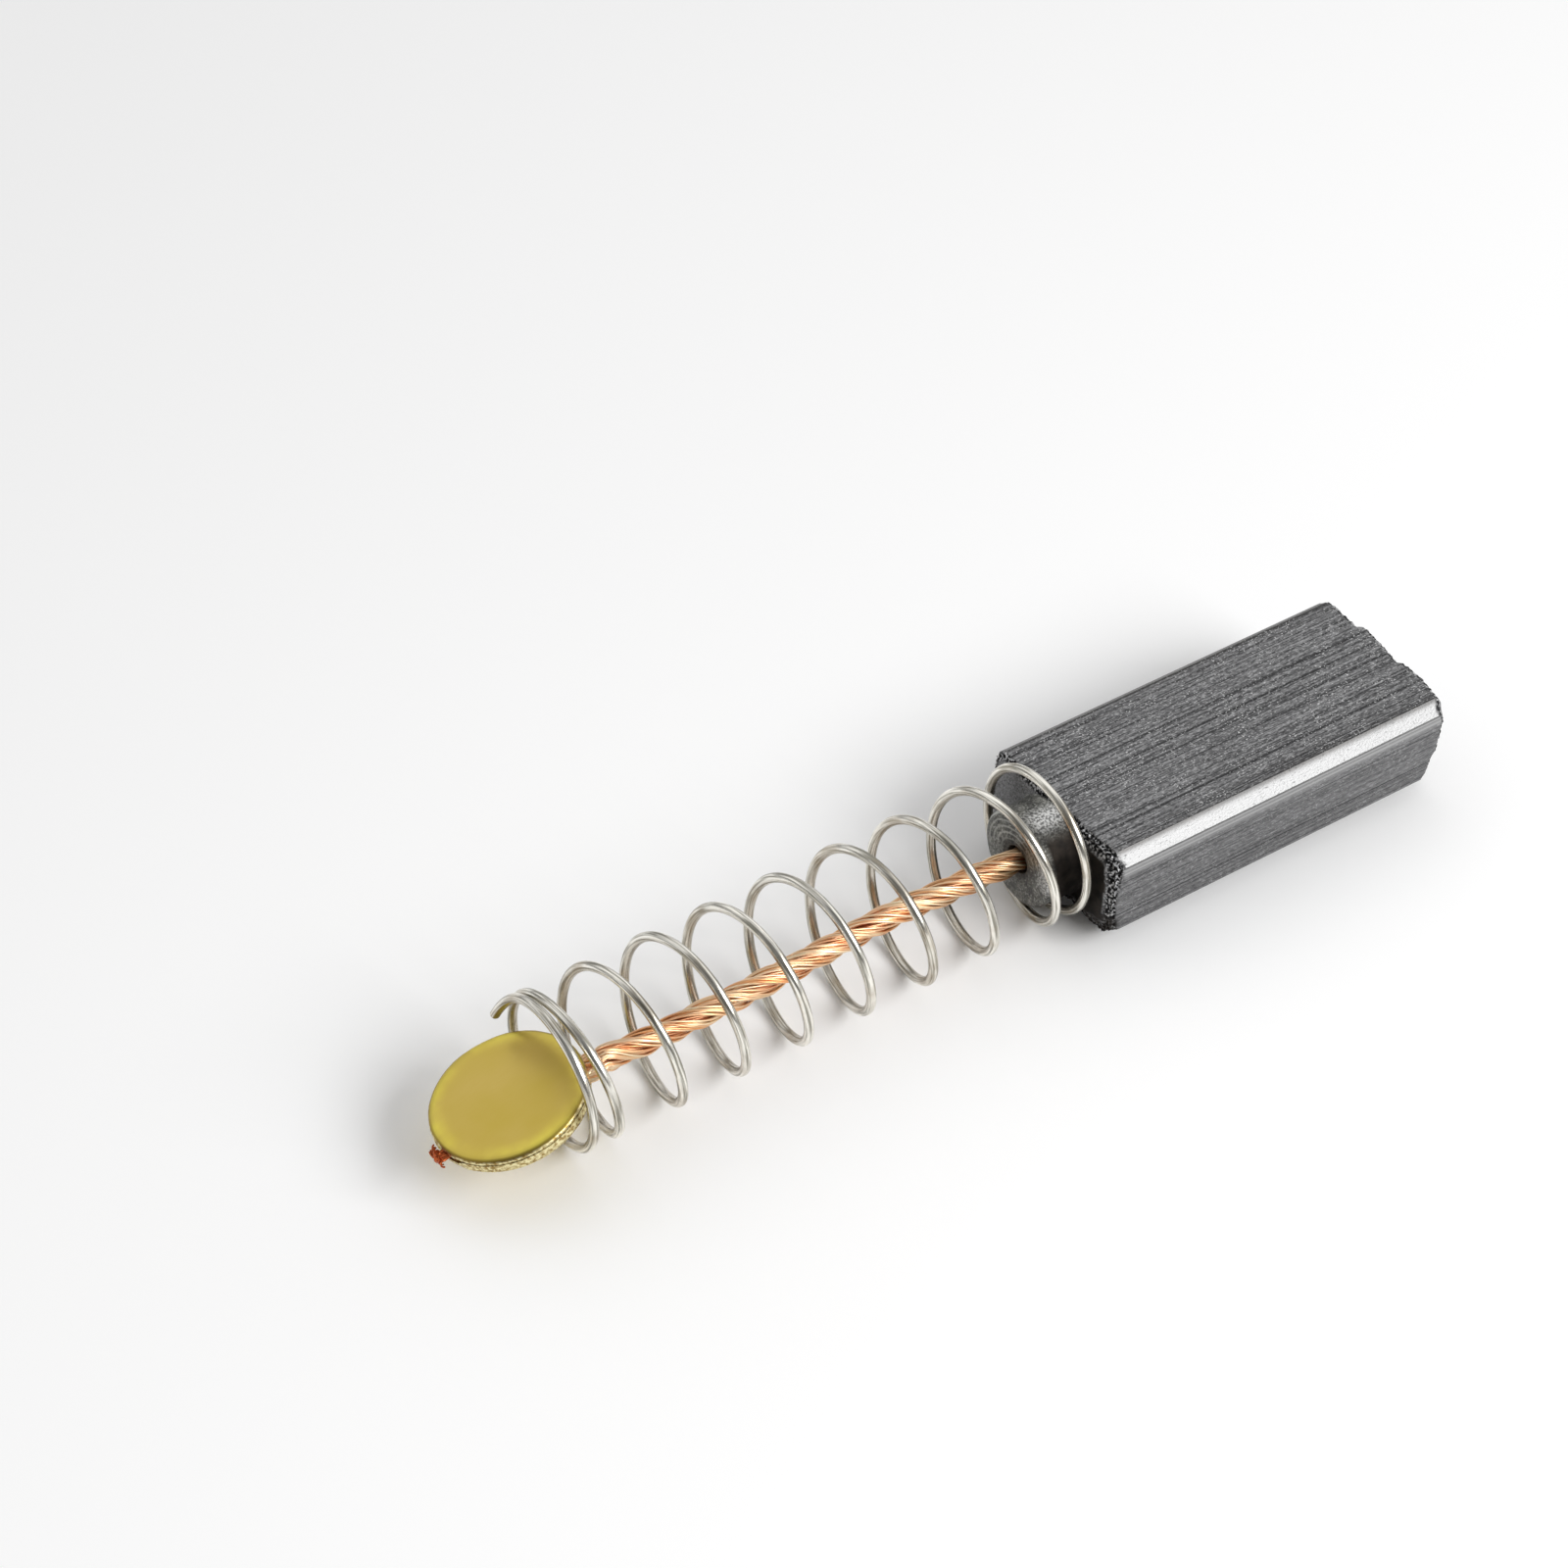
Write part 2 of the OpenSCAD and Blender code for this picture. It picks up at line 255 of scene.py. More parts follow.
block.verts.ensure_lookup_table()
broken = {}
for v in block.verts:
    y, up = v.co.y, v.co.z - axis_z
    past_shoulder, before_end = v.co.x - shoulder_x, end_x - v.co.x
    from_edge = min(half_w - abs(y), half_t - abs(up),
                    (half_w + half_t - LONG_CHAMFER - abs(y) - abs(up)) / sqrt(2))
    inward = Vector((0, -y / half_w, -up / half_t))
    rough = grains(v.co, GRAIN)
    mark = 0
    if past_shoulder < SHOULDER_ZONE:
        wear = shoulder_wear(y, up)
        reach = CRUMBLE_REACH * wear
        near = 1 - smooth_step(hypot(past_shoulder * 1.6, max(0, from_edge)), 0.45 * reach, reach)
        depth = near * wear * (CRUMBLE_DEPTH + CRUMBLE_GRAIN * rough)
        v.co.x += depth if past_shoulder < ON_FACE else 0.6 * depth
        v.co += inward.normalized() * depth * (1 - smooth_step(from_edge, 0, 0.1)) * 0.8
        mark = min(1, 1.7 * near)
    if before_end < END_ZONE:
        chip = end_chip(y, up) * (1 - smooth_step(before_end, 0, CHIP_LEN))
        edge = 1 - smooth_step(hypot(before_end, max(0, from_edge)), 0.02, RIM_REACH)
        v.co.x -= chip + edge * (RIM_DEPTH + RIM_GRAIN * rough)
        v.co += inward.normalized() * edge * (ROUND_DEPTH + ROUND_GRAIN * rough)
        mark = max(mark, edge, END_MARK if before_end < ON_FACE else 0)
    broken[v.index] = mark
print("broken edges at", sum(m > 0.1 for m in broken.values()), "points")

# %% [markdown]
# Float attributes on each point tell the finish what the surface is like there: broken, coarsely ground,
# turned on the lathe, burnished, or where a highlight or shade is painted. The broad faces were ground with
# a coarser wheel than the narrow ones, and the long chamfers are burnished by the brush box. Beside the upper
# chamfers thin light and dark lines are painted, a painted highlight and painted shade, and two tables give
# their places. Painted shade also darkens the back chamfers, the lower and front part of the shoulder, and
# the lower faces just behind it.

# %% Attributes of the block
SURFACES = ("broken", "coarse", "turned", "burnished", "painted_highlight", "painted_shade")
# Places and strengths of the painted light lines and the painted dark lines beside the upper chamfers.
EDGE_LIGHT = [(-1.2, 0), (-1.025, 0.3), (-0.95, 0.5), (-0.875, 1), (-0.8, 0.6), (-0.725, 0.5), (-0.65, 1),
              (-0.575, 0.35), (-0.5, 0)]
EDGE_DARK = [(-0.65, 0), (-0.575, 0.4), (-0.5, 0), (-0.2, 0), (-0.13, 0.12), (-0.07, 0.45), (0, 0.5),
             (0.1, 0.15), (0.17, 0.3), (0.25, 0), (0.4, 0), (0.47, 0.35), (0.55, 0)]
BACK_CHAMFER_SHADE = 0.5
NARROW_COARSE = 0.25


def on_chamfer(y, up):
    return abs(half_w + half_t - LONG_CHAMFER - abs(y) - abs(up)) < 0.01


def near_upper_edge(y, up, table):
    """Value of a table whose places run from the top face, above 0, down over the chamfer and the side."""
    if up > half_t - 0.005:
        return table_value(table, half_w - LONG_CHAMFER - abs(y))
    return table_value(table, up - half_t) if abs(y) > half_w - 0.01 or on_chamfer(y, up) else 0


# Painted shade, stronger towards the front and the bottom.
def painted_shade_at(y, up):
    return smooth_step(-0.8 * y - 0.45 * up, -1.2, 1.6)


layer = {name: block.verts.layers.float.new(name) for name in SURFACES}
for v in block.verts:
    y, up = v.co.y, v.co.z - axis_z
    past_shoulder = v.co.x - shoulder_x
    sound = 1 - broken[v.index]
    v[layer["broken"]] = broken[v.index]
    v[layer["coarse"]] = 1 if abs(up) > half_t - 0.1 else NARROW_COARSE
    v[layer["burnished"]] = sound * on_chamfer(y, up)
    # Painted highlight: light lines beside the upper chamfers.
    v[layer["painted_highlight"]] = sound * near_upper_edge(y, up, EDGE_LIGHT)
    # Painted shade: back chamfers, dark lines by the upper chamfers, the shoulder face, lower faces behind
    # it.
    edge_shade = BACK_CHAMFER_SHADE if y > 0 and on_chamfer(y, up) else near_upper_edge(y, up, EDGE_DARK)
    below = (1 - smooth_step(past_shoulder, 0.2, 0.6)) if up < -1 else 0
    v[layer["painted_shade"]] = max(edge_shade, painted_shade_at(y, up) * (1 if past_shoulder < 0.01 else below))
print("burnished points", sum(v[layer["burnished"]] > 0.5 for v in block.verts))

# %% [markdown]
# The spigot is turned on the same block, with a small hole for the pigtail. A cylinder with a bevel would
# need a second one cut out of it. A profile that is spun once round the axis gives the hole, the end face,
# the bevel, the side and the fillet at its root. It starts and ends on the axis inside the block, so that
# the skin is closed.

# %% Spin the spigot
SPIGOT_R = 2.1
HOLE_R = 0.58
HOLE_DEPTH = 2.9
SKIN_DEPTH = 3.2
SPIGOT_STEPS = 128
spigot_x = block_low.x
HOLE = [(spigot_x + HOLE_DEPTH, 0), (spigot_x + HOLE_DEPTH, HOLE_R), (spigot_x + 0.22, HOLE_R),
        (spigot_x + 0.07, HOLE_R + 0.04), (spigot_x, HOLE_R + 0.16)]
FACE = [(spigot_x, r) for r in (0.9, 1.2, 1.5, 1.8)]
BEVEL = [(spigot_x + 0.02, SPIGOT_R - 0.16), (spigot_x + 0.06, SPIGOT_R - 0.06), (spigot_x + 0.15, SPIGOT_R)]
SIDE = [(spigot_x + 0.5, SPIGOT_R), (spigot_x + 1.0, SPIGOT_R), (shoulder_x - 0.1, SPIGOT_R)]
ROOT = [(shoulder_x - 0.04, SPIGOT_R + 0.02), (shoulder_x, SPIGOT_R + 0.06),
        (shoulder_x + 0.1, SPIGOT_R - 0.05), (spigot_x + SKIN_DEPTH, SPIGOT_R - 0.4),
        (spigot_x + SKIN_DEPTH, 0)]

spigot = bmesh.new()
line = [spigot.verts.new((x, 0, r)) for x, r in HOLE + FACE + BEVEL + SIDE + ROOT]
for a, b in zip(line, line[1:]):
    spigot.edges.new((a, b))
bmesh.ops.spin(spigot, geom=spigot.verts[:] + spigot.edges[:], cent=(0, 0, 0), axis=(1, 0, 0),
               angle=2 * pi, steps=SPIGOT_STEPS, use_merge=True)
bmesh.ops.translate(spigot, vec=(0, 0, axis_z), verts=spigot.verts)
recalculated(spigot)
print("spigot of", len(spigot.faces), "faces")

# %% [markdown]
# The spigot has the same attributes as the block. Painted shade darkens its front side and a ring round the
# hole. A painted highlight lightens its top and the front of its rim. The end face is a little uneven.

# %% Attributes of the spigot, and the block as one piece
HOLE_SHADE, HOLE_SHADE_REACH = 0.75, 0.75
ROOT_TURNED = 0.6
UNEVEN = 0.02

layer = {name: spigot.verts.layers.float.new(name) for name in SURFACES}
for v in spigot.verts:
    y, up = v.co.y, v.co.z - axis_z
    before_shoulder = v.co.x < shoulder_x - 0.02
    # Painted highlight: from 0.8 low at the front to 1 on top, so the light tool rings show on the upper side
    # only.
    v[layer["turned"]] = smooth_step(up + 0.3 * y, -0.9, 0.9, 0.8, 1) if before_shoulder else ROOT_TURNED
    on_side = smooth_step(v.co.x, spigot_x + 0.1, spigot_x + 0.5)
    near_hole = 1 - smooth_step(hypot(y, up), HOLE_R, HOLE_R + HOLE_SHADE_REACH)
    # Painted shade on the front of the side and round the hole.
    v[layer["painted_shade"]] = max(on_side * smooth_step(-y, 0.4, 1.4), HOLE_SHADE * near_hole)
    # Painted highlight on the top of the side and on the front of the rim.
    spigot_side_highlight = on_side * (up > 0) * (1 - smooth_step(abs(y + 0.35), 0.1, 0.85))
    spigot_rim_highlight = (1 - on_side) * smooth_step(-y, 1.3, 1.7) * (1 - smooth_step(abs(up - 0.3), 0.3, 0.9))
    v[layer["painted_highlight"]] = max(spigot_side_highlight, 0.8 * spigot_rim_highlight)
    if v.co.x < spigot_x + 0.01 and hypot(y, up) > 0.9:
        v.co.x += UNEVEN * noise.noise(v.co * 1.2)
join(block, spigot, "spigot_skin")
carbon = piece_from(block, "carbon_piece", "carbon_block", sharp_deg=38)

# %% [markdown]
# Spring
#
# The spring is round plated wire, wound right-handed, with its end turns closed. A helix of one pitch
# would be a single spin with an offset, but this pitch changes near both ends. So a small circle is spun
# a few degrees at a time, each time with the offset that the wire has there.

# %% The wire's path
COIL_R = 3.1
WIRE_R = 0.2
TURNS = 9.875
FREE_CLOSED, SEAT_CLOSED = 1.2, 1
CLOSED_PITCH = 0.45
FREE_BLEND, SEAT_BLEND = 0.2, 0.3
SPRING_LEN = 23.5
SEAT_GAP = 0.2
COIL_DRIFT = 0.2
END_KICK, KICK_TURNS = 0.35, 0.12
spring_axis_z = COIL_R + WIRE_R
active_turns = TURNS - FREE_CLOSED - SEAT_CLOSED
free_end_x = shoulder_x - SEAT_GAP - WIRE_R - (SPRING_LEN - 2 * WIRE_R)
open_pitch = CLOSED_PITCH + (SPRING_LEN - 2 * WIRE_R - CLOSED_PITCH * TURNS) / active_turns


def past_step(s, at, width):
    """How many turns past a place, with a soft start of a width in turns."""
    if s < at - width / 2:
        return 0
    if s > at + width / 2:
        return s - at
    return (s - at + width / 2) ** 2 / (2 * width)


def wire_x(s):
    """Place of the wire along the spring after a number of turns from the free end."""
    opening = past_step(s, FREE_CLOSED, FREE_BLEND) - past_step(s, TURNS - SEAT_CLOSED, SEAT_BLEND)
    share = min(1, max(0, (s - FREE_CLOSED) / active_turns))
    drift = 4 * COIL_DRIFT * share * (1 - share)
    kick = END_KICK * max(0, 1 - s / KICK_TURNS) ** 2
    return free_end_x + CLOSED_PITCH * s + (open_pitch - CLOSED_PITCH) * opening - drift - kick


print("open pitch", round(open_pitch, 2), "mm over", round(active_turns, 2), "turns")

# %% [markdown]
# The circle starts at the cut end of the wire, where a face closes it, and another closes it at the seat.
# Three attributes are stored while it goes round: how far along the wire a point is, and where it lies on
# the wire's section, outwards from the coil and sideways. The finish draws its streaks along them.

# %% Spin the wire
START_DEG = 15
STEPS_PER_TURN = 72
WIRE_SIDES = 16
steps = round(TURNS * STEPS_PER_TURN)

spring = bmesh.new()
along_layer = spring.verts.layers.float.new("along")
out_layer = spring.verts.layers.float.new("outward")
side_layer = spring.verts.layers.float.new("sideways")
ring = bmesh.ops.create_circle(spring, cap_ends=False, segments=WIRE_SIDES, radius=WIRE_R)["verts"]
bmesh.ops.rotate(spring, verts=ring, cent=(0, 0, 0), matrix=Matrix.Rotation(pi / 2, 3, "X"))
for v in ring:
    v[out_layer], v[side_layer] = v.co.z / WIRE_R, v.co.x / WIRE_R
bmesh.ops.translate(spring, verts=ring, vec=(wire_x(0), 0, COIL_R))
bmesh.ops.rotate(spring, verts=ring, cent=(0, 0, 0), matrix=Matrix.Rotation(radians(START_DEG - 90), 3, "X"))
edges = spring.edges[:]
bmesh.ops.contextual_create(spring, geom=edges)
for i in range(steps):
    s0, s1 = TURNS * i / steps, TURNS * (i + 1) / steps
    swept = bmesh.ops.spin(spring, geom=edges, cent=(0, 0, 0), axis=(1, 0, 0), angle=2 * pi / STEPS_PER_TURN,
                           steps=1, dvec=(wire_x(s1) - wire_x(s0), 0, 0))["geom_last"]
    edges = [g for g in swept if isinstance(g, bmesh.types.BMEdge)]
    for v in {v for e in edges for v in e.verts}:
        v[along_layer] = s1 * 2 * pi * COIL_R
bmesh.ops.contextual_create(spring, geom=edges)
bmesh.ops.translate(spring, verts=spring.verts, vec=(0, 0, spring_axis_z))
recalculated(spring)
spring_piece = piece_from(spring, "spring_piece", "spring", sharp_deg=60)

# %% [markdown]
# Pigtail
#
# The pigtail is a rope of four strands, each a bundle of fine bare copper wires. A twisted texture on a
# tube would show no gaps, so each fine wire is a spline of its own with a round bevel. First comes the
# route of the whole rope, which is the measured one: straight out of the hole, a slight bow inside the
# spring, then flat between the layers of the cap. So the cap's place is needed here already.

# %% The cap's place
CAP_R = 3.15
CAP_SHEET = 0.28
FOLD_GAP = 0.2
CAP_OVERHANG, CAP_ASIDE, CAP_DROP = 1.55, 0.05, 0.5
CAP_TURN_DEG = (-5.3, -16.3, -8.6)
cap_centre = Vector((free_end_x - CAP_OVERHANG, CAP_ASIDE, spring_axis_z - CAP_DROP))
cap_turn = Euler([radians(a) for a in CAP_TURN_DEG], "XYZ").to_matrix()
cap_up = cap_turn @ Vector((0, 0, 1))


def cap_point(x, y, z=0.0):
    return cap_centre + cap_turn @ Vector((x, y, z))


print("cap's middle at", [round(c, 2) for c in cap_centre])

# %% [markdown]
# The route's points are joined by a curve that passes through all of them. Its first and last points only
# steer it. The steps are about a sixth of a millimetre long, and shorter in the tuft, which curls.

# %% The rope's route
MOUTH_Y, TAIL_Y = -0.55, -0.85
TUFT_LEN = 0.55
SAG = 0.1
ROPE_STEP = 0.16
TUFT_STEPS = 10
rope_start = Vector((spigot_x, 0, axis_z))
rope_mouth = cap_point(CAP_R + 0.1, MOUTH_Y)
tail_end = cap_point(-CAP_R, TAIL_Y)
tail_tip = cap_point(-CAP_R - TUFT_LEN, TAIL_Y)


def on_way(share, sideways):
    """Point between the hole and the cap's mouth, sideways of the straight line and sagging below it."""
    return rope_start.lerp(rope_mouth, share) + Vector((0, sideways, -SAG * sin(pi * share)))


def curve_point(p0, p1, p2, p3, u):
    return 0.5 * (2 * p1 + (p2 - p0) * u + (2 * p0 - 5 * p1 + 4 * p2 - p3) * u * u
                  + (3 * p1 - p0 - 3 * p2 + p3) * u ** 3)


route = [rope_start + Vector((4.7, 0, 0)), rope_start + Vector((HOLE_DEPTH, 0, 0)), rope_start,
         on_way(0.15, 0.15), on_way(0.3, 0.3), on_way(0.5, 0.15), on_way(0.7, 0.03), on_way(0.9, 0),
         cap_point(CAP_R + 0.6, MOUTH_Y + 0.05), rope_mouth, cap_point(0, (MOUTH_Y + TAIL_Y) / 2),
         tail_end, tail_tip, 2 * tail_tip - tail_end]
mouth_leg, tuft_leg = len(route) - 5, len(route) - 3
centre_line, leg_start = [], {}
for i in range(1, len(route) - 2):
    legs = TUFT_STEPS if i == tuft_leg else max(2, round((route[i + 1] - route[i]).length / ROPE_STEP))
    leg_start[i] = len(centre_line)
    centre_line += [curve_point(*route[i - 1:i + 3], j / legs) for j in range(legs)]
centre_line.append(tail_tip)
run = [0.0]
for a, b in zip(centre_line, centre_line[1:]):
    run.append(run[-1] + (b - a).length)
tail_at = leg_start[tuft_leg]
mouth_run, tail_run = run[leg_start[mouth_leg]], run[tail_at]
print("rope of", round(run[-1], 1), "mm in", len(centre_line), "steps; mouth at", round(mouth_run, 1))

# %% [markdown]
# The rope's section is round up to the cap and flat in it, so its half width and half height change along
# the route. Where the wires leave the cap again they were cut off short, and each one curls its own way.

# %% The rope's section and its tuft
ROPE_R = 0.55
STRAP_HALF_W = 0.85
STRAP_HALF_H = FOLD_GAP / 2 - 0.01
TUFT_HALF_W = 0.3
SQUEEZE = 0.55
TUFT_STRAIGHT, TUFT_CURL = 0.02, 0.52


def rope_size(at):
    """Half width and half height of the rope's section at a length along it."""
    squeeze = smooth_step(at, mouth_run - SQUEEZE, mouth_run)
    if at < mouth_run:
        return ROPE_R + (STRAP_HALF_W - ROPE_R) * squeeze, ROPE_R + (STRAP_HALF_H - ROPE_R) * squeeze
    return STRAP_HALF_W + (TUFT_HALF_W - STRAP_HALF_W) * smooth_step(at, mouth_run, tail_run), STRAP_HALF_H


def rope_axes(i):
    ahead = (centre_line[min(i + 1, len(centre_line) - 1)] - centre_line[max(i - 1, 0)]).normalized()
    side = cap_up.cross(ahead).normalized()
    return side, ahead.cross(side)


def tuft_shift(out, seed, side, up):
    """How far a wire that left the cap has gone: a little way straight, then curling over to one side."""
    turn = 2.6 + 1.3 * noise.noise(Vector((seed, 5, 1)))
    way = 2.4 * noise.noise(Vector((seed, 1, 8)))
    bend = turn * out
    reach = TUFT_CURL / turn
    return (side.cross(up) * (TUFT_STRAIGHT * min(1, 3 * out) + reach * sin(bend))
            + (up * cos(way) + side * sin(way)) * reach * (1 - cos(bend)))


print("rope", 2 * ROPE_R, "mm thick, pressed to", round(2 * STRAP_HALF_H, 2), "mm in the cap")

# %% [markdown]
# The strands turn round the rope one way, and the wires turn slowly round their strand the other way. A
# little noise lets each wire wander and lift, as wires in a real rope do. A thicker core wire fills the
# middle of each strand, so that no light comes through.

# %% The bundle of fine wires
ROPE_LAY = 5.8
STRAND_LAY = -26.0
STRANDS = 4
WIRES = 12
FINE_R = 0.049
CORE_THICK = 2.4
WANDER = 0.9
FULLNESS, LIFT = 0.02, 0.1
strand_share = sin(pi / STRANDS) / (1 + sin(pi / STRANDS))


def wire_points(strand, wire):
    """Place and thickness of one fine wire at each step of the rope; a strand's last wire is its core."""
    core = wire == WIRES
    seed = strand * 17.3 + wire * 3.7
    for i, at in enumerate(run):
        half_wide, half_high = rope_size(at)
        wander = noise.noise(Vector((at * 0.45, seed, 0.5)))
        lift = noise.noise(Vector((at * 0.6, seed, 9.5)))
        strand_angle = 2 * pi * (strand / STRANDS + at / ROPE_LAY)
        own_angle = 2 * pi * (wire / WIRES + at / STRAND_LAY) + strand_angle + WANDER * wander
        own_r = 0 if core else strand_share - FINE_R / ROPE_R + FULLNESS + LIFT * lift
        u = (1 - strand_share) * cos(strand_angle) + own_r * cos(own_angle)
        w = (1 - strand_share) * sin(strand_angle) + own_r * sin(own_angle)
        held = min(i, tail_at)
        side, up = rope_axes(held)
        flat = min(1, (half_high - 0.01) / (2.2 * FINE_R))
        thick = (CORE_THICK if core else 1) * (flat if half_high < ROPE_R else 1)
        place = (centre_line[held] + side * u * (half_wide - (FINE_R if half_wide > ROPE_R else 0))
                 + up * w * max(0.02, half_high - FINE_R * flat)
                 + tuft_shift(max(0, at - tail_run) / TUFT_LEN, seed, side, up))
        yield place, thick


copper_curve = bpy.data.curves.new("copper_wires", "CURVE")
copper_curve.dimensions = "3D"
copper_curve.bevel_depth = FINE_R * MM
copper_curve.bevel_resolution = 1
copper_curve.use_fill_caps = True
for strand in range(STRANDS):
    for wire in range(WIRES + 1):
        spline = copper_curve.splines.new("POLY")
        spline.points.add(len(run) - 1)
        for point, (place, thick) in zip(spline.points, wire_points(strand, wire)):
            point.co = (*(place * MM), 1)
            point.radius = thick
print("rope of", len(copper_curve.splines), "fine wires")

# %% [markdown]
# The curve becomes a mesh, so that each point can carry two numbers for the finish: a tone of its own for
# each fine wire, and how deep it lies in the rope. Deep places are painted darker, as painted shade where the
# light hardly gets in, and the tuft is given the same dark tone.

# %% From curve to mesh
TUFT_DEPTH = 0.75
curve_object = bpy.data.objects.new("copper_wires", copper_curve)
bpy.context.collection.objects.link(curve_object)
evaluated = curve_object.evaluated_get(bpy.context.evaluated_depsgraph_get())
copper_mesh = bpy.data.meshes.new_from_object(evaluated)
bpy.data.objects.remove(curve_object)
pigtail = bmesh.new()
pigtail.from_mesh(copper_mesh)
bpy.data.meshes.remove(copper_mesh)
bmesh.ops.scale(pigtail, vec=(1 / MM,) * 3, verts=pigtail.verts)
pigtail.verts.ensure_lookup_table()
tone_layer = pigtail.verts.layers.float.new("tone")
depth_layer = pigtail.verts.layers.float.new("depth")
per_wire = len(pigtail.verts) // (STRANDS * (WIRES + 1))
back_along = [-p.x for p in centre_line]
for v in pigtail.verts:
    wire = v.index // per_wire
    v[tone_layer] = 0.5 + 0.5 * noise.noise(Vector((wire * 5.1, 0.3, 0.7)) * 1.7)
    ring = min(len(centre_line) - 1, bisect_left(back_along, -v.co.x))
    depth = 1 - min(1, (v.co - centre_line[ring]).length / max(0.3, rope_size(run[ring])[1]))
    # The tuft gets the same dark tone through this attribute.
    v[depth_layer] = max(depth, TUFT_DEPTH * smooth_step(run[ring], tail_run - 0.6, tail_run - 0.2))
pigtail_piece = piece_from(pigtail, "pigtail_piece", "pigtail", sharp_deg=80)

# %% [markdown]
# Contact cap
#
# The cap is blanked from thin brass and folded over the rope. Blanking rolls the upper edge over and
# leaves a grainy torn wall below. A bevelled disc would have the same round on both edges, so each layer
# is spun from a profile of its real edge.

# %% Spin the two layers
CREASE_Y = 2.8
CAP_STEPS = 128
RINGS = (0.8, 1.6, 2.2)
half_gap = FOLD_GAP / 2
top = half_gap + CAP_SHEET
UPPER_PROFILE = ([(0, top)] + [(r, top) for r in (*RINGS, CAP_R - 0.75)]
                 + [(CAP_R - 0.5, top - 0.006), (CAP_R - 0.32, top - 0.02), (CAP_R - 0.18, top - 0.05),
                    (CAP_R - 0.08, top - 0.1), (CAP_R - 0.03, top - 0.17), (CAP_R - 0.03, half_gap + 0.02),
                    (CAP_R - 0.05, half_gap)]
                 + [(r, half_gap) for r in (CAP_R - 0.5, *reversed(RINGS))] + [(0, half_gap)])
LOWER_PROFILE = ([(0, -top)] + [(r, -top) for r in (*RINGS, CAP_R - 0.5)]
                 + [(CAP_R - 0.2, -top + 0.01), (CAP_R - 0.06, -top + 0.06), (CAP_R, -top + 0.14),
                    (CAP_R, -half_gap), (CAP_R - 0.02, half_gap - 0.015), (CAP_R - 0.16, half_gap - 0.02),
                    (CAP_R - 0.28, -half_gap + 0.02)]
                 + [(r, -half_gap) for r in (CAP_R - 0.5, *reversed(RINGS))] + [(0, -half_gap)])


def spun_layer(profile):
    bm = bmesh.new()
    line = [bm.verts.new((r, 0, z)) for r, z in profile]
    for a, b in zip(line, line[1:]):
        bm.edges.new((a, b))
    bmesh.ops.spin(bm, geom=bm.verts[:] + bm.edges[:], cent=(0, 0, 0), axis=(0, 0, 1),
                   angle=2 * pi, steps=CAP_STEPS, use_merge=True)
    recalculated(bm)
    return bm


cap, lower = spun_layer(UPPER_PROFILE), spun_layer(LOWER_PROFILE)
print("layers of", len(cap.faces), "and", len(lower.faces), "faces")

# %% [markdown]
# Both layers are cut off at the crease. The upper one's cut edge is spun half round to make the bend, and
# its end is bridged to the lower one's cut edge, so both layers and the bend are one closed sheet. The
# bend is as wide as the cut, so its points are drawn together to stay inside the round outline.

# %% Cut at the crease and bend
BEND_STEPS = 12


def cut_at_crease(bm):
    cut_through = bmesh.ops.bisect_plane(bm, geom=bm.verts[:] + bm.edges[:] + bm.faces[:], dist=1e-5,
                                         plane_co=(0, CREASE_Y, 0), plane_no=(0, 1, 0), clear_outer=True)
    return [g for g in cut_through["geom_cut"] if isinstance(g, bmesh.types.BMEdge)]


crease = cut_at_crease(cap)
bmesh.ops.spin(cap, geom=crease, cent=(0, CREASE_Y, 0), axis=(1, 0, 0), angle=-pi, steps=BEND_STEPS)
cut_at_crease(lower)
join(cap, lower, "lower_layer")
bmesh.ops.bridge_loops(cap, edges=[e for e in cap.edges if e.is_boundary])
for v in cap.verts:
    if v.co.y > CREASE_Y:
        v.co.x *= sqrt(max(0, CAP_R ** 2 - min(v.co.y, CAP_R - 0.02) ** 2)) / sqrt(CAP_R ** 2 - CREASE_Y ** 2)
        v.co.y = min(v.co.y, CAP_R)
recalculated(cap)
print("cap of", len(cap.faces), "faces,", sum(not e.is_manifold for e in cap.edges), "open edges")

# %% [markdown]
# The lower layer's rim is turned up against the upper one, except where the rope goes in and comes out.
# The torn wall of the rim is marked for the finish, and the whole sheet gets the slight waves of a thing
# that was pressed by hand tools. Then the cap is turned to its attitude and moved to its place.

# %% Shape the rim and place the cap
MOUTH_HALF, TAIL_HALF = 1.25, 0.6
RIM_WAVE, SHEET_WAVE = 0.008, 0.012


def rope_way(x, y):
    """1 where the rope passes the rim, 0 elsewhere."""
    at, half = (MOUTH_Y, MOUTH_HALF) if x > 0 else (TAIL_Y, TAIL_HALF)
    return (1 - smooth_step(abs(y - at), half, half + 0.35)) if abs(x) > 1.5 else 0


